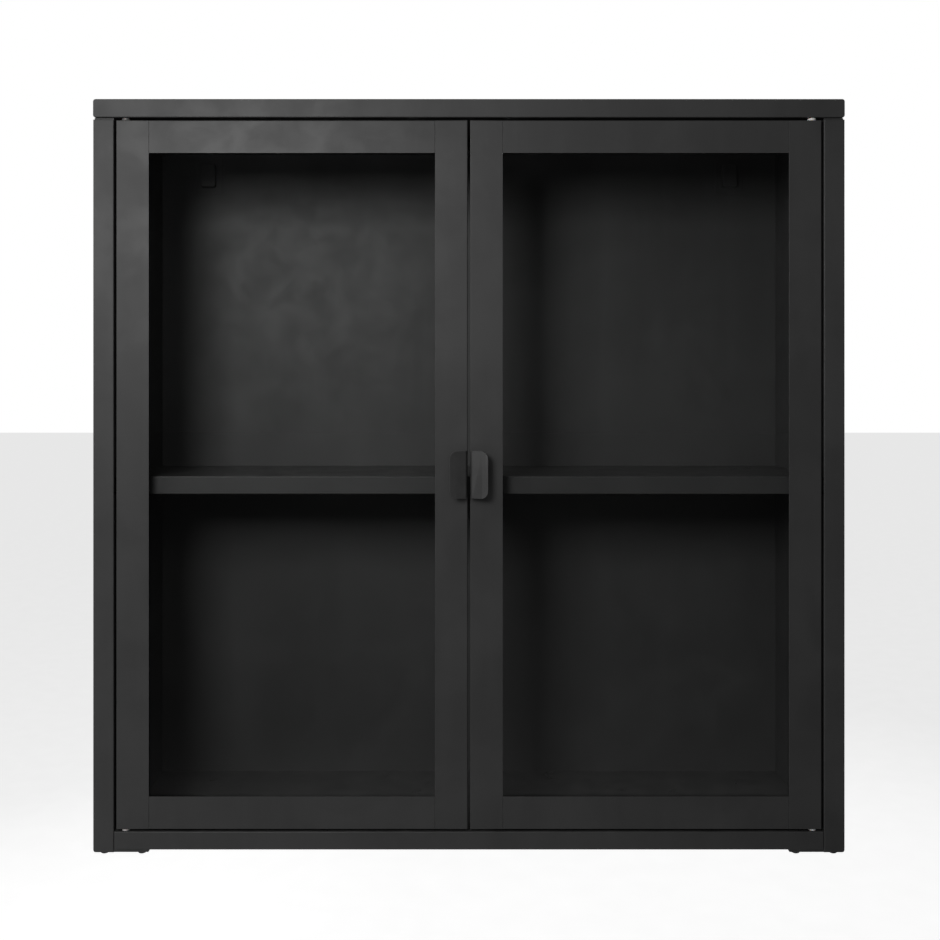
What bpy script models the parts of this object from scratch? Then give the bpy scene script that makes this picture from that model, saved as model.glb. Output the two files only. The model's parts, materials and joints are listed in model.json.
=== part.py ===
"""Wall mounted showcase: a black sheet-metal cabinet with two glazed doors and one shelf.

Frame: metres, +Z up, the front faces -Y. The origin is the centre of the back panel's rear
face, the face that lies against the wall. Each door is built about its own hinge axis and is
parented to an empty that stands on that axis.
"""

import math

import bmesh
import bpy
from mathutils import Matrix

# ---------------------------------------------------------------- driving dimensions
WIDTH = 0.900
HEIGHT = 0.900
DEPTH = 0.200

SHEET = 0.0010            # folded steel sheet
GAP = 0.0003              # clearance left between touching pieces
FOLD_RADIUS = 0.0010      # outside radius of a folded edge
CORNER_RADIUS = 0.0030    # rounded, welded corner of a folded panel

SIDE_WIDTH = 0.025        # double-skinned side panel, seen from the front
SIDE_INSET = 0.0003       # the top panel stands this far past the sides
TOP_HEIGHT = 0.0220       # front face of the top panel
BASE_DROP = 0.0017        # the side panels reach this far below the nominal height
BASE_TAB = 0.0030         # tab of each side panel, folded in under the bottom panel
BASE_TAB_REACH = 0.066    # in from the cabinet's side
BOTTOM_HEIGHT = 0.0219    # bottom panel above the tabs
TOP_REVEAL = 0.0036       # shadow gap between the top panel and the doors
SIDE_REVEAL = 0.0026      # shadow gap between the top panel and the side panels
DOOR_GAP = 0.0030         # gap round the other door edges

DOOR_DEPTH = 0.015
FRAME_WIDTH = 0.039       # face width of door stiles and rails
HINGE_LIP = 0.008         # rear lip of hinge stiles and rails
MEETING_LIP = 0.012       # rear lip of meeting stiles
PIVOT_INSET = 0.010       # hinge axis in from the door's edge
PIVOT_DEPTH = 0.0065      # hinge axis behind the front plane

GLASS = 0.0030
GLASS_OVERLAP = 0.012     # glass hidden behind the frame on each side
SEAL = 0.0010
SEAL_WIDTH = 0.010

SHELF_TOP = -0.0032
SHELF_HEIGHT = 0.0216
SHELF_SETBACK = 0.0205    # front edge of the shelf, clear of the door corner that swings in

HANDLE_HEIGHT = 0.0565
HANDLE_SHEET = 0.0020
HANDLE_CENTRE = 0.0010
HANDLE_CORNER = 0.0095

SCREW_ROWS = (0.012, 0.057)        # base screws, in from the cabinet's side
SCREW_LINES = (0.0085, 0.180)      # base screws, behind the front plane
BACK_SCREW_HEIGHTS = (-0.360, 0.0, 0.360)
BACK_SCREW_X = 0.4375
KEYHOLE_X = 0.360
KEYHOLE_Z = 0.392
KEYHOLE_RISE = 0.014
CATCH_X = 0.060
CLIP_HEIGHTS = (-0.250, 0.250)

# ---------------------------------------------------------------- derived places
FRONT = -DEPTH
HALF = WIDTH / 2
TOP = HEIGHT / 2
BASE = -HEIGHT / 2 - BASE_DROP
REAR_OF_CASE = -(SHEET + GAP)             # everything in front of the back panel ends here
TOP_UNDER = TOP - TOP_HEIGHT
BOTTOM_UNDER = BASE + BASE_TAB + GAP
FLOOR = BASE + BASE_TAB + BOTTOM_HEIGHT
DOOR_LOW = FLOOR + DOOR_GAP
DOOR_HIGH = TOP_UNDER - TOP_REVEAL
SIDE_HIGH = TOP_UNDER - SIDE_REVEAL
INNER = HALF - SIDE_WIDTH                 # inner face of each side panel, from the centre
DOOR_WIDTH = (2 * INNER - 3 * DOOR_GAP) / 2
HINGE_X = INNER - DOOR_GAP - PIVOT_INSET
HINGE_Y = FRONT + PIVOT_DEPTH
GLASS_FRONT = SHEET + SEAL + 2 * GAP      # depths below are behind the front plane
GLASS_REAR = GLASS_FRONT + GLASS
SHELF_FRONT = FRONT + SHELF_SETBACK
SHELF_REAR = -0.004
REACH = 0.010                             # how far a cutter runs past the face it opens

X, Y, Z = 0, 1, 2
SAME_PLACE = 1e-6
MERGE = 1e-5
ROUND_STEPS = 20

SIDES = {"left": -1, "right": 1}


# ---------------------------------------------------------------- scene and materials
def clear_scene():
    for item in list(bpy.data.objects):
        bpy.data.objects.remove(item, do_unlink=True)


def new_collection(name):
    collection = bpy.data.collections.new(name)
    bpy.context.scene.collection.children.link(collection)
    return collection


def material(name, colour, roughness, metallic=0.0, alpha=1.0):
    made = bpy.data.materials.new(name)
    made.use_nodes = True
    shader = made.node_tree.nodes["Principled BSDF"]
    shader.inputs["Base Color"].default_value = (*colour, 1.0)
    shader.inputs["Roughness"].default_value = roughness
    shader.inputs["Metallic"].default_value = metallic
    shader.inputs["Alpha"].default_value = alpha
    made.diffuse_color = (*colour, alpha)
    return made


clear_scene()
CASE = new_collection("wall_mounted_showcase")
CUTTERS = new_collection("cutters")

PAINTED_STEEL = material("painted_steel", (0.035, 0.035, 0.036), 0.42)
BARE_STEEL = material("zinc_steel", (0.55, 0.55, 0.56), 0.30, 1.0)
NYLON = material("white_nylon", (0.85, 0.85, 0.83), 0.45)
RUBBER = material("black_rubber", (0.02, 0.02, 0.02), 0.80)
CATCH_PLASTIC = material("catch_plastic", (0.04, 0.04, 0.04), 0.50)
CLEAR_GLASS = material("clear_glass", (0.90, 0.95, 0.94), 0.03, 0.0, 0.25)


# ---------------------------------------------------------------- shape helpers
def corners(a, b):
    """Sort two opposite corners into the low and the high one."""
    low = tuple(min(p, q) for p, q in zip(a, b))
    high = tuple(max(p, q) for p, q in zip(a, b))
    return low, high


def on_planes(*planes):
    """Pick the edges that lie in every one of the given (axis, value) planes."""
    def test(edge):
        return all(abs(vert.co[axis] - value) < SAME_PLACE
                   for vert in edge.verts for axis, value in planes)
    return test


def box_mesh(name, a, b, rounds=()):
    """A box between two corners. rounds: (edge test, radius, segments), one after another."""
    low, high = corners(a, b)
    size = [q - p for p, q in zip(low, high)]
    middle = [(p + q) / 2 for p, q in zip(low, high)]
    place = Matrix.Translation(middle) @ Matrix.Diagonal((*size, 1.0))
    shape = bmesh.new()
    bmesh.ops.create_cube(shape, size=1.0, matrix=place)
    for test, radius, segments in rounds:
        chosen = [edge for edge in shape.edges if test(edge)]
        bmesh.ops.bevel(shape, geom=chosen, offset=radius, segments=segments,
                        profile=0.5, affect="EDGES")
    mesh = bpy.data.meshes.new(name)
    shape.to_mesh(mesh)
    shape.free()
    return mesh


def add(name, mesh, finish, parent=None):
    made = bpy.data.objects.new(name, mesh)
    mesh.materials.append(finish)
    CASE.objects.link(made)
    made.parent = parent
    return made


def block(name, a, b, finish, rounds=(), parent=None):
    return add(name, box_mesh(name, a, b, rounds), finish, parent)


def add_cutter(mesh, parent=None, hidden_name="cutter"):
    made = bpy.data.objects.new(hidden_name, mesh)
    made.hide_render = True
    made.display_type = "WIRE"
    CUTTERS.objects.link(made)
    made.parent = parent
    return made


def combine(target, tool, operation):
    step = target.modifiers.new(operation.lower(), "BOOLEAN")
    step.operation = operation
    step.solver = "EXACT"
    step.object = tool


def cut_box(target, a, b, rounds=()):
    tool = add_cutter(box_mesh("cut_box", a, b, rounds), target.parent)
    combine(target, tool, "DIFFERENCE")


def join_box(target, a, b):
    tool = add_cutter(box_mesh("join_box", a, b), target.parent)
    combine(target, tool, "UNION")


def cut_round(target, centre, radius, length, axis, far_radius=None):
    """Cut a round or tapered hole centred on a point. far_radius is at the axis's + end."""
    shape = bmesh.new()
    bmesh.ops.create_cone(shape, cap_ends=True, segments=ROUND_STEPS, radius1=radius,
                          radius2=radius if far_radius is None else far_radius, depth=length)
    mesh = bpy.data.meshes.new("cut_round")
    shape.to_mesh(mesh)
    shape.free()
    tool = add_cutter(mesh, target.parent)
    tool.location = centre
    if axis == Y:
        tool.rotation_euler.x = -math.pi / 2
    combine(target, tool, "DIFFERENCE")


def turned(name, profile, finish, location, parent=None, closed=False, turn_x=0.0):
    """Turn an outline about local Z. It runs down the outer side, top to bottom."""
    mesh = bpy.data.meshes.new(name)
    points = [(radius, 0.0, height) for radius, height in profile]
    edges = [(i, i + 1) for i in range(len(points) - 1)]
    if closed:
        edges.append((len(points) - 1, 0))
    mesh.from_pydata(points, edges, [])
    made = add(name, mesh, finish, parent)
    screw = made.modifiers.new("turn", "SCREW")
    screw.axis = "Z"
    screw.steps = ROUND_STEPS
    screw.render_steps = ROUND_STEPS
    screw.use_merge_vertices = True
    screw.merge_threshold = MERGE
    screw.use_smooth_shade = True
    made.location = location
    made.rotation_euler.x = turn_x
    return made


def rounded_path(points, radius, steps=4):
    """An open path in plan with each inner corner turned into an arc."""
    path = [points[0]]
    for before, corner, after in zip(points, points[1:], points[2:]):
        to_before = math.atan2(before[1] - corner[1], before[0] - corner[0])
        to_after = math.atan2(after[1] - corner[1], after[0] - corner[0])
        half = (to_after - to_before) / 2
        half = math.atan2(math.sin(half), math.cos(half))
        if abs(half) > math.pi / 2:
            half -= math.copysign(math.pi, half)
        reach = radius / math.tan(abs(half))
        middle = to_before + half
        centre = (corner[0] + math.cos(middle) * radius / math.sin(abs(half)),
                  corner[1] + math.sin(middle) * radius / math.sin(abs(half)))
        start = (corner[0] + math.cos(to_before) * reach, corner[1] + math.sin(to_before) * reach)
        first = math.atan2(start[1] - centre[1], start[0] - centre[0])
        sweep = -math.copysign(math.pi - 2 * abs(half), half)
        for i in range(steps + 1):
            angle = first + sweep * i / steps
            path.append((centre[0] + radius * math.cos(angle), centre[1] + radius * math.sin(angle)))
    path.append(points[-1])
    return path


def bent_strip(name, path, half_heights, thickness, finish, parent):
    """A strip of sheet that follows a path in plan; each point has its own half height."""
    shape = bmesh.new()
    rows = [[shape.verts.new((x, y, sign * tall)) for sign in (-1, 1)]
            for (x, y), tall in zip(path, half_heights)]
    for near, far in zip(rows, rows[1:]):
        shape.faces.new((near[0], far[0], far[1], near[1]))
    mesh = bpy.data.meshes.new(name)
    shape.to_mesh(mesh)
    shape.free()
    made = add(name, mesh, finish, parent)
    solid = made.modifiers.new("sheet", "SOLIDIFY")
    solid.thickness = thickness
    solid.offset = 0.0
    solid.use_even_offset = True
    return made


# ---------------------------------------------------------------- fasteners
def pan_screw(name, finish, head_radius, head_height, radius, length, location, turn_x,
              parent=None):
    profile = [(0.0, head_height), (0.55 * head_radius, 0.92 * head_height),
               (0.85 * head_radius, 0.62 * head_height), (head_radius, 0.20 * head_height),
               (head_radius, 0.0), (radius, 0.0), (radius, -length), (0.0, -length)]
    return turned(name, profile, finish, location, parent, turn_x=turn_x)


def countersunk_screw(name, head_radius, radius, length, location, turn_x):
    profile = [(0.0, 0.0), (head_radius, 0.0), (radius, -SHEET), (radius, -length), (0.0, -length)]
    return turned(name, profile, PAINTED_STEEL, location, turn_x=turn_x)


BASE_SCREW_HEAD = 0.0055
BASE_SCREW_HEAD_HEIGHT = 0.0036
BASE_SCREW = 0.0025
BASE_SCREW_LENGTH = 0.012
BACK_SCREW_HEAD = 0.0029
BACK_SCREW = 0.0015
HANDLE_SCREW = 0.0015
HANDLE_SCREW_HEAD = 0.0028
HANDLE_SCREW_HEAD_HEIGHT = 0.0018
HEAD_DOWN = math.pi
HEAD_TO_REAR = -math.pi / 2


# ---------------------------------------------------------------- case
def front_rim():
    return (on_planes((Y, FRONT)), FOLD_RADIUS, 2)


def hinge_points(height):
    return [(side * HINGE_X, HINGE_Y, height) for side in SIDES.values()]


SLEEVE_RADIUS = 0.0040


def top_panel():
    a = (-HALF, FRONT, TOP_UNDER)
    b = (HALF, REAR_OF_CASE, TOP)
    ends = [(on_planes((X, x), (Z, z)), CORNER_RADIUS, 4)
            for x in (-HALF, HALF) for z in (TOP_UNDER, TOP)]
    made = block("top_panel", a, b, PAINTED_STEEL, [*ends, front_rim()])
    inner_a = (-HALF + SHEET, FRONT + SHEET, TOP_UNDER + SHEET)
    inner_b = (HALF - SHEET, REAR_OF_CASE - SHEET, TOP - SHEET)
    inner_ends = [(on_planes((X, x), (Z, z)), CORNER_RADIUS - SHEET, 4)
                  for x in (inner_a[X], inner_b[X]) for z in (inner_a[Z], inner_b[Z])]
    cut_box(made, inner_a, inner_b, inner_ends)
    front_lip, end_lip, rear_lip = 0.045, 0.030, 0.025
    cut_box(made, (-HALF + end_lip, FRONT + front_lip, TOP_UNDER - REACH),
            (HALF - end_lip, -rear_lip, TOP_UNDER + TOP_HEIGHT / 2))
    for point in hinge_points(TOP_UNDER):
        cut_round(made, point, SLEEVE_RADIUS + GAP, 4 * SHEET, Z)


def bottom_panel():
    half = INNER - GAP
    a = (-half, FRONT, BOTTOM_UNDER)
    b = (half, REAR_OF_CASE, FLOOR)
    made = block("bottom_panel", a, b, PAINTED_STEEL, [front_rim()])
    cut_box(made, (-half + SHEET, FRONT + SHEET, BOTTOM_UNDER + SHEET),
            (half - SHEET, REAR_OF_CASE - SHEET, FLOOR - SHEET))
    end_lip, front_lip, rear_lip = 0.050, 0.030, 0.035
    cut_box(made, (-half + end_lip, FRONT + front_lip, BOTTOM_UNDER - REACH),
            (half - end_lip, -rear_lip, BOTTOM_UNDER + BOTTOM_HEIGHT / 2))
    for point in hinge_points(FLOOR):
        cut_round(made, point, SLEEVE_RADIUS + GAP, 4 * SHEET, Z)
    for side in SIDES.values():
        for line in SCREW_LINES:
            centre = (side * (HALF - SCREW_ROWS[1]), FRONT + line, BOTTOM_UNDER)
            cut_round(made, centre, BASE_SCREW + GAP, 4 * SHEET, Z)


SLOT_FRONT = (0.003, 0.0235)     # behind the front plane
SLOT_REAR = (0.178, 0.1965)


def side_panel(side_name):
    """A closed channel. Its neck meets the top panel, its tab reaches under the bottom panel."""
    side = SIDES[side_name]
    outer = side * (HALF - SIDE_INSET)
    inner = side * INNER
    low_corner = (on_planes((X, outer), (Z, BASE)), CORNER_RADIUS, 4)
    made = block(f"{side_name}_side_panel", (inner, FRONT, BASE),
                 (outer, REAR_OF_CASE, SIDE_HIGH), PAINTED_STEEL, [low_corner, front_rim()])
    tab_front, tab_rear = 0.0016, 0.0035
    join_box(made, (side * (HALF - BASE_TAB_REACH), FRONT + tab_front, BASE),
             (inner + side * SHEET / 2, -tab_rear, BASE + BASE_TAB))
    hollow_outer = outer - side * SHEET
    hollow_corner = (on_planes((X, hollow_outer), (Z, BASE + SHEET)), CORNER_RADIUS - SHEET, 4)
    cut_box(made, (inner + side * SHEET, FRONT + SHEET, BASE + SHEET),
            (hollow_outer, REAR_OF_CASE - SHEET, SIDE_HIGH - SHEET), [hollow_corner])
    for near, far in (SLOT_FRONT, SLOT_REAR):
        cut_box(made, (inner - side * SHEET, FRONT + near, SHELF_TOP - SHELF_HEIGHT),
                (inner + side * 3 * SHEET, FRONT + far, SHELF_TOP))
    for row in SCREW_ROWS:
        for line in SCREW_LINES:
            centre = (side * (HALF - row), FRONT + line, BASE)
            cut_round(made, centre, BASE_SCREW + GAP, 8 * SHEET, Z)
    for height in BACK_SCREW_HEIGHTS:
        centre = (side * BACK_SCREW_X, REAR_OF_CASE, height)
        cut_round(made, centre, BACK_SCREW + GAP, 4 * SHEET, Y)
    neck_front, neck_side = 0.003, 0.0008
    join_box(made, (inner + side * neck_side, FRONT + neck_front, SIDE_HIGH - SHEET / 2),
             (outer - side * neck_side, REAR_OF_CASE - neck_front, TOP_UNDER - GAP))


def base_screws(side_name):
    side = SIDES[side_name]
    for row_name, row in zip(("outer", "inner"), SCREW_ROWS):
        for line_name, line in zip(("front", "rear"), SCREW_LINES):
            name = f"{side_name}_{line_name}_{row_name}_base_screw"
            place = (side * (HALF - row), FRONT + line, BASE - GAP)
            pan_screw(name, PAINTED_STEEL, BASE_SCREW_HEAD, BASE_SCREW_HEAD_HEIGHT, BASE_SCREW,
                      BASE_SCREW_LENGTH, place, HEAD_DOWN)


def cut_keyhole(target, side):
    entry_radius, slot_radius = 0.0055, 0.0033
    depth = 0.020
    x = side * KEYHOLE_X
    top = KEYHOLE_Z + KEYHOLE_RISE
    cut_round(target, (x, 0.0, KEYHOLE_Z), entry_radius, depth, Y)
    cut_round(target, (x, 0.0, top), slot_radius, depth, Y)
    cut_box(target, (x - slot_radius, -depth / 2, KEYHOLE_Z), (x + slot_radius, depth / 2, top))


def back_panel():
    edge_inset = 0.003
    reach = HALF - edge_inset
    made = block("back_panel", (-reach, -SHEET, BASE + edge_inset),
                 (reach, 0.0, TOP - edge_inset), PAINTED_STEEL)
    for side in SIDES.values():
        cut_keyhole(made, side)
        for height in BACK_SCREW_HEIGHTS:
            taper = SHEET * 2
            slope = (BACK_SCREW_HEAD - BACK_SCREW) / SHEET * taper / 2
            middle_radius = (BACK_SCREW_HEAD + BACK_SCREW) / 2 + GAP
            cut_round(made, (side * BACK_SCREW_X, -SHEET / 2, height), middle_radius - slope,
                      taper, Y, middle_radius + slope)


def back_screws(side_name):
    side = SIDES[side_name]
    for height_name, height in zip(("lower", "middle", "upper"), BACK_SCREW_HEIGHTS):
        name = f"{side_name}_{height_name}_back_screw"
        countersunk_screw(name, BACK_SCREW_HEAD, BACK_SCREW, BASE_SCREW_LENGTH,
                          (side * BACK_SCREW_X, 0.0, height), HEAD_TO_REAR)


def hanging_cover(side_name):
    """A flanged cup inside the back panel. The head of the wall screw slides up in it."""
    x = SIDES[side_name] * KEYHOLE_X
    cup_half, cup_below, cup_above, cup_depth = 0.010, 0.010, 0.022, 0.008
    flange, cup_round = 0.009, 0.003
    front = REAR_OF_CASE - cup_depth
    low, high = KEYHOLE_Z - cup_below, KEYHOLE_Z + cup_above
    made = block(f"{side_name}_hanging_cover",
                 (x - cup_half - flange, REAR_OF_CASE - SHEET, low - flange),
                 (x + cup_half + flange, REAR_OF_CASE, high + flange), PAINTED_STEEL,
                 [(on_planes((X, x + end), (Z, z)), cup_round, 4)
                  for end in (-cup_half - flange, cup_half + flange)
                  for z in (low - flange, high + flange)])
    corners_in_plan = [(on_planes((X, x + end), (Z, z)), cup_round, 4)
                       for end in (-cup_half, cup_half) for z in (low, high)]
    cup = add_cutter(box_mesh("cup", (x - cup_half, front, low),
                              (x + cup_half, REAR_OF_CASE - SHEET / 2, high),
                              [*corners_in_plan, (on_planes((Y, front)), FOLD_RADIUS, 2)]))
    combine(made, cup, "UNION")
    cut_box(made, (x - cup_half + SHEET, front + SHEET, low + SHEET),
            (x + cup_half - SHEET, REAR_OF_CASE + REACH, high - SHEET))


def shelf():
    half = INNER - GAP
    under = SHELF_TOP - SHELF_HEIGHT
    nose = (on_planes((Y, SHELF_FRONT)), FOLD_RADIUS, 2)
    made = block("shelf", (-half, SHELF_FRONT, under), (half, SHELF_REAR, SHELF_TOP),
                 PAINTED_STEEL, [nose])
    cut_box(made, (-half + SHEET, SHELF_FRONT + SHEET, under + SHEET),
            (half - SHEET, SHELF_REAR - SHEET, SHELF_TOP - SHEET))
    end_lip, long_lip = 0.012, 0.015
    cut_box(made, (-half + end_lip, SHELF_FRONT + long_lip, under - REACH),
            (half - end_lip, SHELF_REAR - long_lip, under + SHELF_HEIGHT / 2))
    ear, ear_length, ear_margin = 2 * SHEET, 0.006, 0.002
    for side in SIDES.values():
        for y in (SHELF_FRONT + GAP, SHELF_REAR - GAP - ear):
            join_box(made, (side * (half - SHEET / 2), y, under + ear_margin),
                     (side * (half + ear_length), y + ear, SHELF_TOP - ear_margin))


def magnetic_catch(side_name):
    side = SIDES[side_name]
    half_width, height, depth, edge = 0.017, 0.0140, 0.018, 0.0015
    front = FRONT + DOOR_DEPTH + 2 * GAP
    top = TOP_UNDER - GAP
    pole = 0.0012
    pole_plates = ((0.0030, 0.0045), (0.0085, 0.0100))     # below the catch's top
    a = (side * CATCH_X - half_width, front + pole, top - height)
    b = (side * CATCH_X + half_width, front + depth, top)
    long_edges = [(on_planes((Y, front + pole), (Z, z)), edge, 3) for z in (top, top - height)]
    made = block(f"{side_name}_magnetic_catch", a, b, CATCH_PLASTIC, long_edges)
    plate_inset = 0.003
    for near, far in pole_plates:
        join_box(made, (a[X] + plate_inset, front, top - far),
                 (b[X] - plate_inset, front + 3 * pole, top - near))


BORE = 0.0028
PIN = 0.0025
BUSH_RADIUS = 0.0049
BUSH_SLEEVE = 0.008


def bushing(side_name, level):
    """White pivot washer that fills the gap, with a sleeve down through the panel."""
    side = SIDES[side_name]
    lower = level == "lower"
    thick = (DOOR_GAP if lower else TOP_REVEAL) - 2 * GAP
    profile = [(BORE, thick), (BUSH_RADIUS, thick), (BUSH_RADIUS, 0.0), (SLEEVE_RADIUS, 0.0),
               (SLEEVE_RADIUS, -BUSH_SLEEVE), (BORE, -BUSH_SLEEVE)]
    height = FLOOR + GAP if lower else TOP_UNDER - GAP
    turned(f"{side_name}_{level}_bushing", profile, NYLON, (side * HINGE_X, HINGE_Y, height),
           closed=True, turn_x=0.0 if lower else math.pi)


# ---------------------------------------------------------------- doors
class Door:
    """One door, drawn from its hinge axis: along runs to the meeting edge, depth to the rear."""

    def __init__(self, side_name):
        self.name = side_name
        self.side = SIDES[side_name]
        self.pivot = bpy.data.objects.new(f"{side_name}_door_hinge", None)
        self.pivot.location = (self.side * HINGE_X, HINGE_Y, 0.0)
        CASE.objects.link(self.pivot)

    def point(self, along, depth, height):
        """along is measured from the door's hinge edge, depth from the front plane."""
        return (-self.side * (along - PIVOT_INSET), depth - PIVOT_DEPTH, height)

    def block(self, name, a, b, finish, rounds=()):
        return block(f"{self.name}_door_{name}", self.point(*a), self.point(*b), finish, rounds,
                     self.pivot)

    def cut(self, target, a, b):
        cut_box(target, self.point(*a), self.point(*b))

    def fold(self, **planes):
        """Round the edge where two faces meet, given as along=, depth= or height=."""
        place = self.point(planes.get("along", 0.0), planes.get("depth", 0.0),
                           planes.get("height", 0.0))
        axes = {"along": X, "depth": Y, "height": Z}
        return (on_planes(*((axes[key], place[axes[key]]) for key in planes)), FOLD_RADIUS, 2)

    def stile(self, name, edge, inward, lip):
        """Full-height channel. edge is its outer edge, inward is +1 or -1 along the door."""
        far = edge + inward * FRAME_WIDTH
        past = far + inward * REACH
        wall = edge + inward * SHEET
        rounds = [self.fold(along=edge, depth=0.0), self.fold(depth=0.0, height=DOOR_HIGH),
                  self.fold(depth=0.0, height=DOOR_LOW)]
        made = self.block(name, (edge, 0.0, DOOR_LOW), (far, DOOR_DEPTH, DOOR_HIGH),
                          PAINTED_STEEL, rounds)
        low, high = DOOR_LOW + SHEET, DOOR_HIGH - SHEET
        self.cut(made, (wall, SHEET, low), (past, DOOR_DEPTH - SHEET, high))
        self.cut(made, (edge + inward * lip, DOOR_DEPTH / 2, low), (past, DOOR_DEPTH + REACH, high))
        return made

    def rail(self, name, edge, inward):
        """Channel between the stiles. edge is its outer edge's height."""
        near = FRAME_WIDTH + GAP
        far = DOOR_WIDTH - FRAME_WIDTH - GAP
        inner = edge + inward * FRAME_WIDTH
        past = inner + inward * REACH
        wall = edge + inward * SHEET
        made = self.block(name, (near, 0.0, edge), (far, DOOR_DEPTH, inner), PAINTED_STEEL,
                          [self.fold(depth=0.0, height=edge)])
        self.cut(made, (near - REACH, SHEET, wall), (far + REACH, DOOR_DEPTH - SHEET, past))
        self.cut(made, (near - REACH, DOOR_DEPTH / 2, edge + inward * HINGE_LIP),
                 (far + REACH, DOOR_DEPTH + REACH, past))

    def frame(self):
        hinge_stile = self.stile("hinge_stile", 0.0, 1, HINGE_LIP)
        for height in (DOOR_LOW, DOOR_HIGH):
            cut_round(hinge_stile, self.point(PIVOT_INSET, PIVOT_DEPTH, height), PIN + GAP,
                      4 * SHEET, Z)
        meeting_stile = self.stile("meeting_stile", DOOR_WIDTH, -1, MEETING_LIP)
        for height in self.handle_screw_heights():
            cut_round(meeting_stile, self.point(DOOR_WIDTH - self.HANDLE_SCREW_IN, 0.0, height),
                      HANDLE_SCREW + GAP, 4 * SHEET, Y)
        self.rail("top_rail", DOOR_HIGH, -1)
        self.rail("bottom_rail", DOOR_LOW, 1)

    def pane(self):
        out = FRAME_WIDTH - GLASS_OVERLAP
        self.block("glass", (out, GLASS_FRONT, DOOR_LOW + out),
                   (DOOR_WIDTH - out, GLASS_REAR, DOOR_HIGH - out), CLEAR_GLASS)
        seal_in = FRAME_WIDTH - SEAL
        seal_out = seal_in - SEAL_WIDTH
        front, rear = SHEET + GAP, SHEET + GAP + SEAL
        made = self.block("glass_seal", (seal_out, front, DOOR_LOW + seal_out),
                          (DOOR_WIDTH - seal_out, rear, DOOR_HIGH - seal_out), RUBBER)
        self.cut(made, (seal_in, front - REACH, DOOR_LOW + seal_in),
                 (DOOR_WIDTH - seal_in, rear + REACH, DOOR_HIGH - seal_in))

    def clips(self):
        """Z-shaped clips inside the stiles that press the glass against its seal."""
        foot, riser, toe, thickness, half_height = 0.013, 0.0259, 0.036, 0.0010, 0.008
        low = SHEET + GAP + thickness / 2
        high = GLASS_REAR + GAP + thickness / 2
        shape = [(foot, low), (riser, low), (riser, high), (toe, high)]
        for stile_name, edge, inward in (("hinge", 0.0, 1), ("meeting", DOOR_WIDTH, -1)):
            path = [self.point(edge + inward * u, depth, 0.0)[:2] for u, depth in shape]
            for level, height in zip(("lower", "upper"), CLIP_HEIGHTS):
                made = bent_strip(f"{self.name}_door_{stile_name}_{level}_glass_clip", path,
                                  [half_height] * len(path), thickness, BARE_STEEL, self.pivot)
                made.location.z = height

    HANDLE_SCREW_IN = 0.010
    HANDLE_SCREW_RISE = 0.016

    def handle_screw_heights(self):
        return [HANDLE_CENTRE - self.HANDLE_SCREW_RISE, HANDLE_CENTRE + self.HANDLE_SCREW_RISE]

    def handle(self):
        """Finger tab: a foot on the stile, a short web, and a plate that flares outward."""
        foot_depth = -(GAP + HANDLE_SHEET / 2)
        foot, web, tip = 0.0150, 0.0020, 0.0215
        bend_depth, tip_depth = -0.0080, -0.0160
        outline = [(foot, foot_depth), (web, foot_depth), (web, bend_depth), (tip, tip_depth)]
        path = rounded_path(outline, radius=0.0020)
        heights = [HANDLE_HEIGHT / 2] * (len(path) - 1)
        end = path.pop()
        bend = path[-1]
        length = math.dist(bend, end)
        steps = 8
        for i in range(1, steps + 1):
            turn = math.pi / 2 * i / steps
            run = length - HANDLE_CORNER * (1 - math.sin(turn))
            share = run / length
            path.append((bend[0] + (end[0] - bend[0]) * share,
                         bend[1] + (end[1] - bend[1]) * share))
            heights.append(HANDLE_HEIGHT / 2 - HANDLE_CORNER * (1 - math.cos(turn)))
        placed = [self.point(DOOR_WIDTH - u, depth, 0.0)[:2] for u, depth in path]
        made = bent_strip(f"{self.name}_door_handle", placed, heights, HANDLE_SHEET,
                          PAINTED_STEEL, self.pivot)
        made.location.z = HANDLE_CENTRE
        for height in self.handle_screw_heights():
            cut_round(made, self.point(DOOR_WIDTH - self.HANDLE_SCREW_IN, foot_depth, height),
                      HANDLE_SCREW + GAP, 2 * HANDLE_SHEET, Y)
        for level, height in zip(("lower", "upper"), self.handle_screw_heights()):
            place = self.point(DOOR_WIDTH - self.HANDLE_SCREW_IN, SHEET + GAP, height)
            pan_screw(f"{self.name}_door_{level}_handle_screw", BARE_STEEL, HANDLE_SCREW_HEAD,
                      HANDLE_SCREW_HEAD_HEIGHT, HANDLE_SCREW, SHEET + HANDLE_SHEET + GAP, place,
                      HEAD_TO_REAR, self.pivot)

    def pins(self):
        """Pivot pins, fixed in the hinge stile's ends and turning in the bushings."""
        into_door, into_case, chamfer = 0.008, 0.009, 0.0005
        length = into_door + into_case
        profile = [(0.0, length), (PIN - chamfer, length), (PIN, length - chamfer),
                   (PIN, chamfer), (PIN - chamfer, 0.0), (0.0, 0.0)]
        for level, start in (("lower", DOOR_LOW - into_case), ("upper", DOOR_HIGH - into_door)):
            turned(f"{self.name}_door_{level}_pin", profile, BARE_STEEL,
                   self.point(PIVOT_INSET, PIVOT_DEPTH, start), self.pivot)


# ---------------------------------------------------------------- assembly
def smooth_round_pieces():
    """Turned pieces and folded edges shade smooth across angles under 35 degrees."""
    for made in CASE.objects:
        if made.type == "MESH":
            made.data.shade_smooth()
            made.data.set_sharp_from_angle(angle=math.radians(35))


def build():
    top_panel()
    bottom_panel()
    back_panel()
    shelf()
    for side_name in SIDES:
        side_panel(side_name)
        base_screws(side_name)
        back_screws(side_name)
        hanging_cover(side_name)
        magnetic_catch(side_name)
        bushing(side_name, "lower")
        bushing(side_name, "upper")
        door = Door(side_name)
        door.frame()
        door.pane()
        door.clips()
        door.handle()
        door.pins()
    smooth_round_pieces()


build()
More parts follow.
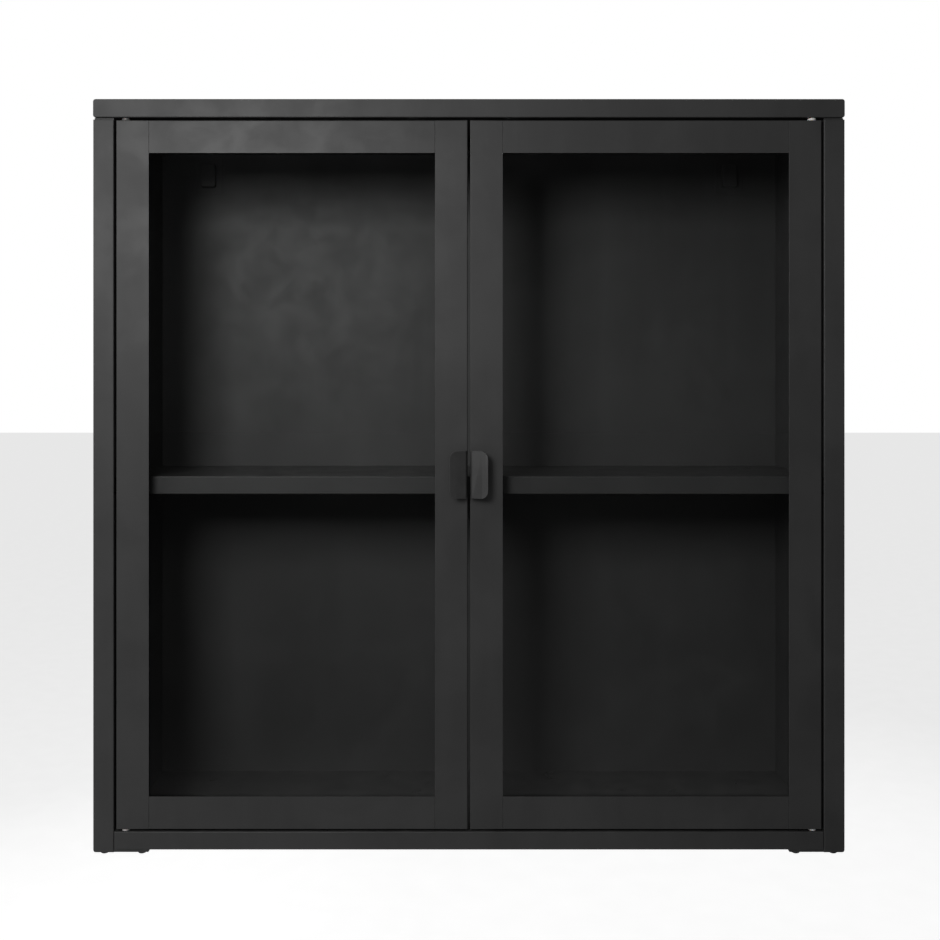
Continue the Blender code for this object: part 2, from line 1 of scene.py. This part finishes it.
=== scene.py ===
"""Looks of the wall mounted showcase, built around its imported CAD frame.

Metres, +Z up, the front faces -Y, the back panel's rear face lies on y = 0.
"""

import json
import math

import bmesh
import bpy
from mathutils import Matrix, Vector

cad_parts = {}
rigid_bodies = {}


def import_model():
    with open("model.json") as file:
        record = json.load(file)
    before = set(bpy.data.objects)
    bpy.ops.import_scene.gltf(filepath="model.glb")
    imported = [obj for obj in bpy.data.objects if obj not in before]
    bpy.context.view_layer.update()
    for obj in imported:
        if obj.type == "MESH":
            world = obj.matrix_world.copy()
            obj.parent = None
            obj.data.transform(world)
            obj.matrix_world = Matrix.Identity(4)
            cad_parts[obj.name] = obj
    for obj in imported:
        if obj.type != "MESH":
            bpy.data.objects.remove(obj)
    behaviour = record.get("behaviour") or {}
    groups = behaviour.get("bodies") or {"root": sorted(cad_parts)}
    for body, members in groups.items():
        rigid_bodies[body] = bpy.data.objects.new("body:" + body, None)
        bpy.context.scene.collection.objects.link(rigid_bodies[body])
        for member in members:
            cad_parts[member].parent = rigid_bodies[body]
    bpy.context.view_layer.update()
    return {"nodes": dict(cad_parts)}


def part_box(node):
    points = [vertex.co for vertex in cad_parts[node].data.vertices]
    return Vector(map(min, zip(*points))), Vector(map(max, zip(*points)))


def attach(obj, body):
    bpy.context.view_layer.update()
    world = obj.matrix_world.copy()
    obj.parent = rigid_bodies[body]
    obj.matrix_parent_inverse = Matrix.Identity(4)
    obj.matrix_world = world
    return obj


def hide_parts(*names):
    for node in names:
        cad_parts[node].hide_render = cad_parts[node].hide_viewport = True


for item in list(bpy.data.objects):
    bpy.data.objects.remove(item, do_unlink=True)

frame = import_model()
nodes = frame["nodes"]

SIDES = ("left", "right")
LEVELS = ("lower", "upper")

# ---------------------------------------------------------------- driving values
MM = 0.001
WELD = 0.00001                # joins the split corners of an imported node
EDGE_ROUND = 0.00022          # paint rounds every sheet edge this much
GROUND_EDGE = 0.00045         # seamed edge of the glass
HANDLE_EDGE = 0.00060         # deburred edge of the finger tabs
SMOOTH_ANGLE = math.radians(40)
TURN_SIDES = 48
HEAD_UP = 0.0                 # turns about X that aim a turned piece's head
HEAD_DOWN = math.pi
HEAD_REAR = -math.pi / 2
SLEEVE = 0.008                # length of the bushings' sleeves
# this bushing gets darkened nylon: painted shade for the shadowed gap it sits in
SHADE_DARKENED_BUSHING = "left_upper_bushing"
REDRAWN = ("_base_screw", "_handle_screw", "_back_screw", "_pin", "_bushing", "_catch")

FRONT_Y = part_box("top_panel")[0].y
CAMERA_DISTANCE = 1.240       # in front of the front plane
CAMERA_HEIGHT = 0.102         # above the cabinet's middle
CAMERA_LENS = 39.7
CAMERA_SHIFT = (0.00116, -0.08538)

FLOOR_Z = -1.2
FLOOR_HALF = 30.0             # wide, so that no edge shows from the side
FLOOR_GLOW = 0.9
WORLD_SEEN = 1.0
WORLD_FELT = 0.01
MIDDLE = (0.0, 0.0, 0.0)
SOFTBOXES = (                 # name, place, edge length, watts; each aims at MIDDLE
    ("key_softbox", (-0.48, -1.22, 0.475), 0.42, 5.6),
    ("broad_left", (-1.40, -0.90, 0.90), 1.2, 8.0),
    ("broad_top", (0.0, -1.50, 1.00), 1.2, 2.3),
    ("bounce_low", (0.0, -1.40, -0.90), 1.0, 0.9),
    ("bounce_left", (-1.00, -0.90, -0.70), 1.0, 1.5),
    ("fill_right", (1.10, -1.10, 0.30), 1.0, 0.9),
    ("rear_right", (1.50, 1.60, 1.00), 1.2, 12.0),
    ("rear_left", (-1.50, 1.50, 0.30), 1.2, 6.0),
)


# ---------------------------------------------------------------- shader helper
class Shader:
    """A material's node tree, with short ways to add and join nodes."""

    def __init__(self, name):
        self.material = bpy.data.materials.new(name)
        self.material.use_nodes = True
        self.tree = self.material.node_tree
        self.surface = self.tree.nodes["Principled BSDF"]
        self.output = self.tree.nodes["Material Output"]
        self.place = self.node("TexCoord").outputs["Object"]

    def node(self, kind, **settings):
        made = self.tree.nodes.new("ShaderNode" + kind)
        for key, value in settings.items():
            setattr(made, key, value)
        return made

    def feed(self, socket, value):
        if isinstance(value, bpy.types.NodeSocket):
            self.tree.links.new(value, socket)
        else:
            socket.default_value = value

    def set(self, **values):
        """Set the surface shader's inputs; Base_Color stands for Base Color."""
        for key, value in values.items():
            self.feed(self.surface.inputs[key.replace("_", " ")], value)

    def stretch(self, scale):
        """Object space, scaled differently along X, Y and Z."""
        made = self.node("Mapping")
        self.feed(made.inputs["Vector"], self.place)
        self.feed(made.inputs["Scale"], scale)
        return made.outputs["Vector"]

    def noise(self, scale, detail=3.0, roughness=0.5, distortion=0.0, vector=None):
        made = self.node("TexNoise")
        self.feed(made.inputs["Vector"], vector or self.place)
        for key, value in (("Scale", scale), ("Detail", detail), ("Roughness", roughness),
                           ("Distortion", distortion)):
            self.feed(made.inputs[key], value)
        return made.outputs["Fac"]

    def spread(self, value, low, high, to_low=0.0, to_high=1.0):
        """Map low..high onto to_low..to_high, clamped."""
        made = self.node("MapRange")
        made.interpolation_type = "SMOOTHSTEP"
        for key, given in (("Value", value), ("From Min", low), ("From Max", high),
                           ("To Min", to_low), ("To Max", to_high)):
            self.feed(made.inputs[key], given)
        return made.outputs["Result"]

    def math(self, operation, a, b=0.0):
        made = self.node("Math", operation=operation)
        self.feed(made.inputs[0], a)
        self.feed(made.inputs[1], b)
        return made.outputs[0]

    def mix(self, share, a, b):
        """Mix two colours."""
        made = self.node("Mix", data_type="RGBA")
        for socket, value in zip((made.inputs["Factor"], made.inputs[6], made.inputs[7]),
                                 (share, a, b)):
            self.feed(socket, value)
        return made.outputs[2]

    def bump(self, height, depth, strength=1.0, under=None):
        """Bump of a real depth in metres, laid over an earlier bump."""
        made = self.node("Bump")
        self.feed(made.inputs["Height"], height)
        self.feed(made.inputs["Distance"], depth)
        self.feed(made.inputs["Strength"], strength)
        if under:
            self.feed(made.inputs["Normal"], under)
        return made.outputs["Normal"]

    def facing_up(self):
        """1 on faces that look up, 0 on upright and hanging ones."""
        split = self.node("SeparateXYZ")
        self.feed(split.inputs[0], self.node("NewGeometry").outputs["Normal"])
        return self.spread(split.outputs["Z"], 0.7, 0.95)

    def edges(self, radius):
        """1 along outer edges, falling to 0 within the radius."""
        rounded = self.node("Bevel", samples=4)
        self.feed(rounded.inputs["Radius"], radius)
        product = self.node("VectorMath", operation="DOT_PRODUCT")
        self.feed(product.inputs[0], rounded.outputs["Normal"])
        self.feed(product.inputs[1], self.node("NewGeometry").outputs["Normal"])
        return self.spread(product.outputs["Value"], 0.97, 0.80)


def grey(value, warmth=0.0):
    return (value * (1 + warmth), value, value * (1 - warmth), 1.0)


# ---------------------------------------------------------------- materials
def powder_coat(name, base, roughness, cloud_scale):
    """Satin black powder coat: clouded, faintly wiped and scratched, lighter at its edges, partly
    from rubbing and partly as a painted highlight along the edges.
    """
    rubbed_and_highlit_width = 0.0011
    grain_depth = 0.000012
    peel_depth = 0.00003
    scratch_width = 0.0035        # of the noise's value, not a length
    coat = Shader(name)

    clouds = coat.spread(coat.noise(cloud_scale, 4.0, 0.55, 0.6), 0.35, 0.65)
    colour = coat.mix(clouds, grey(base * 0.88), grey(base * 1.12))

    upright = coat.stretch((5.0, 5.0, 0.5))
    wipes = coat.spread(coat.noise(9.0, 5.0, 0.6, 0.3, upright), 0.40, 0.75)
    colour = coat.mix(coat.math("MULTIPLY", wipes, 0.25), colour, grey(base * 1.35))

    hairs = coat.noise(55.0, 1.0, 0.5, 0.4, coat.stretch((0.35, 1.0, 6.0)))
    off_middle = coat.math("ABSOLUTE", coat.math("SUBTRACT", hairs, 0.5))
    hairline = coat.spread(off_middle, scratch_width, 0.0)
    rare = coat.spread(coat.noise(6.0, 2.0), 0.56, 0.66)
    scratch = coat.math("MULTIPLY", hairline, rare)
    colour = coat.mix(coat.math("MULTIPLY", scratch, 0.30), colour, grey(base * 2.2))

    specks = coat.spread(coat.noise(38.0, 6.0, 0.7), 0.35, 0.8)
    dust = coat.math("MULTIPLY", coat.facing_up(), specks)
    colour = coat.mix(coat.math("MULTIPLY", dust, 0.12), colour, grey(0.30, 0.03))

    # lighter edges: partly rubbed wear, partly a painted highlight along the edges
    wear_and_highlight_patches = coat.spread(coat.noise(70.0, 4.0), 0.30, 0.70, 0.35, 1.0)
    rubbed_and_highlit = coat.math("MULTIPLY", coat.edges(rubbed_and_highlit_width), wear_and_highlight_patches)
    colour = coat.mix(coat.math("MULTIPLY", rubbed_and_highlit, 0.75), colour, grey(base * 2.6))
    coat.set(Base_Color=colour)

    uneven = coat.noise(21.0, 4.0, 0.6, 0.4)
    rough = coat.spread(uneven, 0.3, 0.7, roughness - 0.05, roughness + 0.05)
    rough = coat.math("SUBTRACT", rough, coat.math("MULTIPLY", coat.facing_up(), 0.20))
    rough = coat.math("ADD", rough, coat.math("MULTIPLY", dust, 0.08))
    coat.set(Roughness=coat.math("SUBTRACT", rough, coat.math("MULTIPLY", rubbed_and_highlit, 0.14)))

    peel = coat.bump(coat.noise(420.0, 2.0, 0.5, 0.3), peel_depth, 0.6)
    coat.set(Normal=coat.bump(coat.noise(1400.0, 2.0), grain_depth, 0.5, peel))
    return coat.material


def clear_glass():
    """Float glass: faint green, with a little dust; lamps shine through it."""
    pane = Shader("clear_float_glass")
    smear = pane.spread(pane.noise(5.0, 6.0, 0.65, 1.2), 0.45, 0.75, 0.0, 0.035)
    pane.set(Base_Color=(0.995, 0.998, 0.996, 1.0), IOR=1.50, Transmission_Weight=1.0,
             Roughness=smear)
    passing = pane.node("BsdfTransparent")
    passing.inputs["Color"].default_value = (0.985, 0.99, 0.987, 1.0)
    mixed = pane.node("MixShader")
    pane.feed(mixed.inputs[0], pane.node("LightPath").outputs["Is Shadow Ray"])
    pane.feed(mixed.inputs[1], pane.surface.outputs[0])
    pane.feed(mixed.inputs[2], passing.outputs[0])
    pane.feed(pane.output.inputs["Surface"], mixed.outputs[0])
    return pane.material


def white_nylon(name, level):
    """Moulded nylon; a low level darkens a bushing as painted shade, for one that sits in shadow.
    """
    nylon = Shader(name)
    speck = nylon.noise(260.0, 4.0, 0.6)
    nylon.set(Base_Color=nylon.mix(speck, grey(0.80 * level, 0.02), grey(0.88 * level, 0.02)),
              Roughness=nylon.spread(nylon.noise(900.0, 2.0), 0.3, 0.7, 0.38, 0.52),
              Subsurface_Weight=0.15, Subsurface_Scale=0.002,
              Normal=nylon.bump(nylon.noise(1800.0, 2.0), 0.00002, 0.5))
    return nylon.material


def zinc_steel():
    """Zinc plated steel: bright, with grey spangle and faint brushing."""
    zinc = Shader("zinc_plated_steel")
    cells = zinc.node("TexVoronoi")
    zinc.feed(cells.inputs["Vector"], zinc.place)
    zinc.feed(cells.inputs["Scale"], 320.0)
    shade = zinc.node("SeparateColor")
    zinc.feed(shade.inputs[0], cells.outputs["Color"])
    brush = zinc.noise(130.0, 3.0, 0.5, 0.0, zinc.stretch((1.0, 1.0, 14.0)))
    colour = zinc.mix(shade.outputs[0], (0.42, 0.43, 0.44, 1.0), (0.60, 0.60, 0.61, 1.0))
    colour = zinc.mix(zinc.spread(zinc.noise(45.0, 5.0, 0.7), 0.5, 0.8, 0.0, 0.5), colour,
                      (0.33, 0.32, 0.30, 1.0))
    zinc.set(Base_Color=colour, Metallic=1.0,
             Roughness=zinc.spread(brush, 0.3, 0.7, 0.24, 0.42),
             Normal=zinc.bump(brush, 0.00002, 0.5))
    return zinc.material


def black_rubber():
    """Matt rubber with a greyish bloom."""
    rubber = Shader("black_rubber")
    bloom = rubber.spread(rubber.noise(60.0, 5.0, 0.7), 0.4, 0.75)
    rubber.set(Base_Color=rubber.mix(bloom, grey(0.010), grey(0.022, 0.02)),
               Roughness=rubber.spread(bloom, 0.0, 1.0, 0.62, 0.85),
               Normal=rubber.bump(rubber.noise(2200.0, 2.0), 0.00004, 0.7))
    return rubber.material


def catch_plastic():
    """Moulded black plastic with a fine grain."""
    plastic = Shader("moulded_black_plastic")
    plastic.set(Base_Color=plastic.mix(plastic.noise(40.0, 4.0), grey(0.020), grey(0.032)),
                Roughness=plastic.spread(plastic.noise(700.0, 3.0), 0.3, 0.7, 0.42, 0.58),
                Normal=plastic.bump(plastic.noise(2600.0, 2.0), 0.00004, 0.6))
    return plastic.material


# The inside and door coats are lighter and darker copies of the case coat: painted light inside,
# painted shade on the doors
COATS = {
    "case": powder_coat("black_powder_coat_case", base=0.038, roughness=0.51, cloud_scale=7.0),
    "inside": powder_coat("black_powder_coat_inside_painted_lighter", base=0.050, roughness=0.53, cloud_scale=6.0),
    "door": powder_coat("black_powder_coat_door", base=0.036, roughness=0.51, cloud_scale=9.0),
    "small": powder_coat("black_powder_coat_small", base=0.040, roughness=0.57, cloud_scale=30.0),
}
GLASS = clear_glass()
NYLON = white_nylon("white_nylon", level=1.0)
# darkened nylon: painted shade for a bushing that sits in shadow
SHADE_DARKENED_NYLON = white_nylon("nylon_darkened_as_painted_shade", level=0.12)
ZINC = zinc_steel()
RUBBER = black_rubber()
PLASTIC = catch_plastic()


# ---------------------------------------------------------------- carried-over CAD nodes
def finish_node(name, coating, edge=EDGE_ROUND):
    """Give a CAD node its material, and soften its sheet edges with modifiers."""
    node = nodes[name]
    for place in node.material_slots:
        place.material = coating
    weld = node.modifiers.new("weld", "WELD")
    weld.merge_threshold = WELD
    bevel = node.modifiers.new("paint_edge", "BEVEL")
    bevel.width = edge
    bevel.segments = 2
    bevel.limit_method = "ANGLE"
    bevel.angle_limit = SMOOTH_ANGLE
    bevel.use_clamp_overlap = True
    bevel.harden_normals = False


def keep_nodes():
    """Finish every CAD node that isn't redrawn."""
    for name in nodes:
        if name.endswith(REDRAWN):
            continue
        if name.endswith("_clip"):
            finish_node(name, ZINC)
        elif name.endswith("_glass"):
            finish_node(name, GLASS, GROUND_EDGE)
        elif name.endswith("_seal"):
            finish_node(name, RUBBER)
        elif name.endswith("_handle"):
            finish_node(name, COATS["small"], HANDLE_EDGE)
        # doors take the darker copy of the coat (painted shade), the back panel and covers the
        # lighter one (painted light)
        elif "_door_" in name:
            finish_node(name, COATS["door"])
        elif name in ("back_panel", "left_hanging_cover", "right_hanging_cover"):
            finish_node(name, COATS["inside"])
        else:
            finish_node(name, COATS["case"])


# ---------------------------------------------------------------- finer small pieces
def add_piece(name, shape, place=Matrix.Identity(4)):
    """Make an object of a bmesh; its place is in its vertices, as with the CAD nodes."""
    bmesh.ops.transform(shape, matrix=place, verts=shape.verts)
    bmesh.ops.recalc_face_normals(shape, faces=shape.faces)
    mesh = bpy.data.meshes.new(name)
    shape.to_mesh(mesh)
    shape.free()
    mesh.shade_smooth()
    mesh.set_sharp_from_angle(angle=SMOOTH_ANGLE)
    made = bpy.data.objects.new(name, mesh)
    bpy.context.scene.collection.objects.link(made)
    return made


def turned(profile, closed=False, sides=TURN_SIDES):
    """Solid of revolution about Z. profile holds (radius, height); closed leaves a bore."""
    shape = bmesh.new()
    rings = []
    for radius, height in profile:
        count = sides if radius else 1
        rings.append([shape.verts.new((radius * math.cos(math.tau * i / count),
                                       radius * math.sin(math.tau * i / count), height))
                      for i in range(count)])
    for one, other in zip(rings, rings[1:] + rings[:1] if closed else rings[1:]):
        for i in range(sides):
            corners = [one[i % len(one)], one[(i + 1) % len(one)],
                       other[(i + 1) % len(other)], other[i % len(other)]]
            shape.faces.new(list(dict.fromkeys(corners)))
    return shape


def rounded_block(low, high, radius, segments=3):
    """Block between two corners, with every edge rounded."""
    shape = bmesh.new()
    bmesh.ops.create_cube(shape, size=1.0)
    size = Vector(high) - Vector(low)
    middle = (Vector(low) + Vector(high)) / 2
    bmesh.ops.transform(shape, matrix=Matrix.Translation(middle) @ Matrix.Diagonal((*size, 1.0)),
                        verts=shape.verts)
    bmesh.ops.bevel(shape, geom=shape.edges, offset=radius, segments=segments, profile=0.5,
                    affect="EDGES")
    return shape


def carve(piece, cutters):
    """Cut each cutter out of the piece for good, and drop the cutter."""
    for cutter in cutters:
        boolean = piece.modifiers.new("cut", "BOOLEAN")
        boolean.operation = "DIFFERENCE"
        boolean.solver = "EXACT"
        boolean.object = cutter
        bpy.context.view_layer.update()
        ready = piece.evaluated_get(bpy.context.evaluated_depsgraph_get())
        mesh = bpy.data.meshes.new_from_object(ready)
        piece.modifiers.clear()
        piece.data = mesh
        bpy.data.objects.remove(cutter, do_unlink=True)
    piece.data.shade_smooth()
    piece.data.set_sharp_from_angle(angle=SMOOTH_ANGLE)


def lifted(place, height):
    """A place moved along its own Z."""
    return place @ Matrix.Translation((0.0, 0.0, height))


def cross_recess(reach, depth, place):
    """Two tapered blades, for a cross recess whose mouth is at height 0 of its place."""
    length_taper = 0.45           # share of the blade's length left at its foot
    mouth_width = 0.48            # shares of the reach
    foot_width = 0.30
    made = []
    for turn in (0.0, math.pi / 2):
        blade = bmesh.new()
        bmesh.ops.create_cube(blade, size=1.0)
        for corner in blade.verts:
            deep = corner.co.z < 0
            corner.co = Vector((corner.co.x * 2 * reach * (length_taper if deep else 1.0),
                                corner.co.y * reach * (foot_width if deep else mouth_width),
                                -depth if deep else 2 * depth))
        made.append(add_piece("blade", blade, place @ Matrix.Rotation(turn, 4, "Z")))
    return made


def hex_recess(reach, depth, place):
    """Six-sided socket with a drilled foot; its mouth is at height 0 of its place."""
    profile = [(0.0, 3 * depth), (reach, 3 * depth), (reach, -depth), (0.0, -1.3 * depth)]
    return [add_piece("socket", turned(profile, sides=6), place)]


def stand_in(piece, node, body, finish):
    """Let a redrawn piece take its CAD node's part."""
    piece.data.materials.clear()
    piece.data.materials.append(finish)
    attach(piece, body)
    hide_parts(node)


def node_place(node, turn_x, drop):
    """Middle of a node's box, on the seat plane this drop below its head's end."""
    low, high = (Vector(corner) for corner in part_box(node))
    middle = (low + high) / 2
    head = Matrix.Rotation(turn_x, 4, "X") @ Vector((0.0, 0.0, 1.0))
    seat = middle + head * ((high - low).dot(Vector(map(abs, head))) / 2 - drop)
    return Matrix.Translation(seat) @ Matrix.Rotation(turn_x, 4, "X")


def domed_head(radius, height, wall):
    """Outline of a domed screw head, from its crown down to its seat."""
    steps = 10
    ease = 0.1 * MM
    arc = [(radius * math.sin(math.pi / 2 * i / steps),
            wall + (height - wall) * math.cos(math.pi / 2 * i / steps))
           for i in range(steps + 1)]
    return [*arc, (radius, ease), (radius - ease, 0.0)]


def shank(radius, length):
    """Outline of a screw's shank under its head, with a tapered end."""
    end_height = 0.6 * MM
    end_taper = 0.5 * MM
    return [(radius, 0.0), (radius, end_height - length), (radius - end_taper, -length),
            (0.0, -length)]


def redraw_base_screw(name):
    """Low domed head with a hex socket, painted over."""
    head_height = 3.6 * MM
    socket_drop = 0.4 * MM        # the socket's depth counts from this far below the crown
    place = node_place(name, HEAD_DOWN, head_height)
    outline = domed_head(5.5 * MM, head_height, wall=0.8 * MM)
    outline += shank(2.5 * MM, length=12.0 * MM)
    piece = add_piece(f"{name}_drawn", turned(outline), place)
    carve(piece, hex_recess(reach=1.75 * MM, depth=1.6 * MM,
                            place=lifted(place, head_height - socket_drop)))
    stand_in(piece, name, "root", COATS["small"])


def redraw_handle_screw(name):
    """Small domed head with a cross recess, behind the finger tab."""
    head_height = 1.8 * MM
    place = node_place(name, HEAD_REAR, head_height)
    outline = domed_head(2.8 * MM, head_height, wall=0.5 * MM)
    outline += shank(1.5 * MM, length=3.3 * MM)
    piece = add_piece(f"{name}_drawn", turned(outline), place)
    carve(piece, cross_recess(reach=1.5 * MM, depth=1.1 * MM,
                              place=lifted(place, head_height)))
    stand_in(piece, name, f"{name.split('_')[0]}_door", ZINC)


def redraw_back_screw(name):
    """Countersunk, with a cross recess, painted over."""
    head_radius = 2.9 * MM
    rim_ease = 0.1 * MM
    shank_radius = 1.5 * MM
    neck = -1.0 * MM
    length = 12.0 * MM
    place = node_place(name, HEAD_REAR, 0.0)
    outline = [(0.0, 0.0), (2.8 * MM, 0.0), (head_radius, -rim_ease), (shank_radius, neck),
               (shank_radius, -11.4 * MM), (1.0 * MM, -length), (0.0, -length)]
    piece = add_piece(f"{name}_drawn", turned(outline), place)
    carve(piece, cross_recess(reach=1.6 * MM, depth=0.9 * MM, place=place))
    stand_in(piece, name, "root", COATS["small"])


def redraw_screws():
    for name in nodes:
        if name.endswith("_base_screw"):
            redraw_base_screw(name)
        elif name.endswith("_handle_screw"):
            redraw_handle_screw(name)
        elif name.endswith("_back_screw"):
            redraw_back_screw(name)


def redraw_pin(side, level):
    """Plain pivot pin with eased ends."""
    radius = 2.5 * MM
    ease_radius = 2.3 * MM
    end_radius = 1.9 * MM
    ease = 0.2 * MM
    taper = 0.8 * MM
    name = f"{side}_door_{level}_pin"
    low, high = (Vector(corner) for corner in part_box(name))
    foot = Matrix.Translation(((low.x + high.x) / 2, (low.y + high.y) / 2, low.z))
    length = high.z - low.z
    outline = [(0.0, length), (end_radius, length), (ease_radius, length - ease),
               (radius, length - taper), (radius, taper), (ease_radius, ease),
               (end_radius, 0.0), (0.0, 0.0)]
    stand_in(add_piece(f"{name}_drawn", turned(outline), foot), name, f"{side}_door",
             ZINC)


def redraw_bushing(side, level):
    """Flanged nylon bushing: its brim lies between panel and door, its sleeve in the panel."""
    bore = 2.8 * MM
    brim = 4.9 * MM
    sleeve = 3.7 * MM
    ease = 0.3 * MM
    name = f"{side}_{level}_bushing"
    low, high = (Vector(corner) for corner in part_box(name))
    thick = high.z - low.z - SLEEVE
    outline = [(bore + ease, thick), (brim - ease, thick),
               (brim - 0.08 * MM, thick - 0.1 * MM), (brim, thick - ease), (brim, ease),
               (brim - ease, 0.0), (sleeve, 0.0), (sleeve, ease - SLEEVE),
               (sleeve - ease, -SLEEVE), (bore + ease, -SLEEVE), (bore, ease - SLEEVE),
               (bore, thick - ease)]
    place = node_place(name, HEAD_UP if level == "lower" else HEAD_DOWN, thick)
    # the bushing in shadow takes the darkened nylon, as painted shade
    stand_in(add_piece(f"{name}_drawn", turned(outline, closed=True), place), name, "root",
             SHADE_DARKENED_NYLON if name == SHADE_DARKENED_BUSHING else NYLON)


def redraw_pivots():
    for side in SIDES:
        for level in LEVELS:
            redraw_pin(side, level)
            redraw_bushing(side, level)


def add_catch_steel(name, low, high):
    """Two steel pole plates at the catch's mouth, and the magnet between them."""
    plate_inset = 3.0 * MM
    plate_depth = 3.6 * MM
    magnet_inset = 1.5 * plate_inset
    magnet_recess = 0.9 * MM
    plate_heights = ((3.0 * MM, 4.5 * MM), (8.5 * MM, 10.0 * MM))     # below the catch's top
    magnet_top = 4.6 * MM
    magnet_foot = 8.4 * MM
    extras = []
    for near, far in plate_heights:
        extras.append(("pole_plate", ZINC, rounded_block(
            (low.x + plate_inset, low.y, high.z - far),
            (high.x - plate_inset, low.y + plate_depth, high.z - near), 0.3 * MM, 2)))
    extras.append(("magnet", RUBBER, rounded_block(
        (low.x + magnet_inset, low.y + magnet_recess, high.z - magnet_foot),
        (high.x - magnet_inset, low.y + plate_depth, high.z - magnet_top), 0.4 * MM, 2)))
    for number, (word, finish, shape) in enumerate(extras):
        extra = add_piece(f"{name}_{word}_{number}", shape)
        extra.data.materials.append(finish)
        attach(extra, "root")


def add_catch_screws(name, low, high):
    """Two domed screws with cross recesses under the catch's body."""
    end_inset = 6.0 * MM
    front_inset = 11.0 * MM
    head_height = 1.5 * MM
    for end in (low.x + end_inset, high.x - end_inset):
        seat = Matrix.Translation((end, low.y + front_inset, low.z))
        seat = seat @ Matrix.Rotation(HEAD_DOWN, 4, "X")
        outline = domed_head(2.6 * MM, head_height, wall=0.4 * MM)
        outline += shank(1.3 * MM, length=6.0 * MM)
        screw = add_piece(f"{name}_screw_{'a' if end < (low.x + high.x) / 2 else 'b'}",
                          turned(outline), seat)
        carve(screw, cross_recess(reach=1.4 * MM, depth=0.9 * MM,
                                  place=lifted(seat, head_height)))
        screw.data.materials.append(ZINC)
        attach(screw, "root")


def redraw_catches():
    """Moulded bodies, each with its pole plates, magnet and screws."""
    plates_proud = 1.2 * MM
    for side in SIDES:
        name = f"{side}_magnetic_catch"
        low, high = (Vector(corner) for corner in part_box(name))
        front = (low.x, low.y + plates_proud, low.z)
        body = add_piece(f"{name}_drawn", rounded_block(front, high, 1.4 * MM))
        stand_in(body, name, "root", PLASTIC)
        add_catch_steel(name, low, high)
        add_catch_screws(name, low, high)


keep_nodes()
redraw_screws()
redraw_pivots()
redraw_catches()


# ---------------------------------------------------------------- studio
def look_at(thing, target):
    aim = Vector(target) - thing.location
    thing.rotation_euler = aim.to_track_quat("-Z", "Y").to_euler()


def softbox(name, place, size, power):
    """A square lamp that the camera doesn't see."""
    lamp = bpy.data.lights.new(name, "AREA")
    lamp.shape = "SQUARE"
    lamp.size = size
    lamp.energy = power
    made = bpy.data.objects.new(name, lamp)
    bpy.context.scene.collection.objects.link(made)
    made.location = place
    look_at(made, MIDDLE)
    made.visible_camera = False
    return made


def keep_off(lamps, things):
    """The lamps don't glare on these things, but still shine through them."""
    for lamp in lamps:
        group = bpy.data.collections.new(f"lit_by_{lamp.name}")
        lamp.light_linking.receiver_collection = group
        for thing in things:
            group.objects.link(thing)
        for entry in group.collection_objects:
            entry.light_linking.link_state = "EXCLUDE"


def world(seen, felt):
    """White to the eye and through glass, dim as a light."""
    made = bpy.data.worlds.new("studio")
    made.use_nodes = True
    tree = made.node_tree
    tree.nodes.clear()
    output = tree.nodes.new("ShaderNodeOutputWorld")
    mixer = tree.nodes.new("ShaderNodeMixShader")
    path = tree.nodes.new("ShaderNodeLightPath")
    bounces = tree.nodes.new("ShaderNodeMath")
    bounces.operation = "ADD"
    tree.links.new(path.outputs["Diffuse Depth"], bounces.inputs[0])
    tree.links.new(path.outputs["Glossy Depth"], bounces.inputs[1])
    direct = tree.nodes.new("ShaderNodeMath")
    direct.operation = "LESS_THAN"
    tree.links.new(bounces.outputs[0], direct.inputs[0])
    direct.inputs[1].default_value = 0.5
    tree.links.new(direct.outputs[0], mixer.inputs[0])
    for socket, level in ((1, felt), (2, seen)):
        back = tree.nodes.new("ShaderNodeBackground")
        back.inputs["Color"].default_value = (level, level, level, 1.0)
        tree.links.new(back.outputs[0], mixer.inputs[socket])
    tree.links.new(mixer.outputs[0], output.inputs["Surface"])
    bpy.context.scene.world = made


def studio_floor():
    """Wide pale paper. It glows to the eye only, so that it stays pale under a dim light."""
    shape = bmesh.new()
    bmesh.ops.create_grid(shape, x_segments=8, y_segments=8, size=FLOOR_HALF)
    bmesh.ops.transform(shape, matrix=Matrix.Translation((0.0, 0.0, FLOOR_Z)), verts=shape.verts)
    mesh = bpy.data.meshes.new("studio_floor")
    shape.to_mesh(mesh)
    shape.free()
    made = bpy.data.objects.new("studio_floor", mesh)
    bpy.context.scene.collection.objects.link(made)
    paper = Shader("pale_paper")
    fleck = paper.noise(14.0, 5.0)
    paper.set(Base_Color=paper.mix(fleck, grey(0.80), grey(0.86)),
              Roughness=0.9, Emission_Color=paper.mix(fleck, grey(0.86), grey(0.90)))
    path = paper.node("LightPath").outputs
    bounces = paper.math("ADD", path["Diffuse Depth"], path["Glossy Depth"])
    to_the_eye = paper.math("LESS_THAN", bounces, 0.5)
    paper.set(Emission_Strength=paper.math("MULTIPLY", FLOOR_GLOW, to_the_eye))
    paper.material.cycles.emission_sampling = "NONE"
    mesh.materials.append(paper.material)


def camera():
    """Level camera straight in front, a little above the middle."""
    data = bpy.data.cameras.new("camera")
    data.lens = CAMERA_LENS
    data.shift_x, data.shift_y = CAMERA_SHIFT
    made = bpy.data.objects.new("camera", data)
    bpy.context.scene.collection.objects.link(made)
    made.location = (0.0, FRONT_Y - CAMERA_DISTANCE, CAMERA_HEIGHT)
    made.rotation_euler = (math.pi / 2, 0.0, 0.0)
    bpy.context.scene.camera = made


camera()
world(seen=WORLD_SEEN, felt=WORLD_FELT)
studio_floor()
lamps = [softbox(*values) for values in SOFTBOXES]
panes = [nodes[name] for name in nodes if name.endswith("_glass")]
keep_off(lamps, panes)
bpy.context.scene.view_settings.view_transform = "Standard"
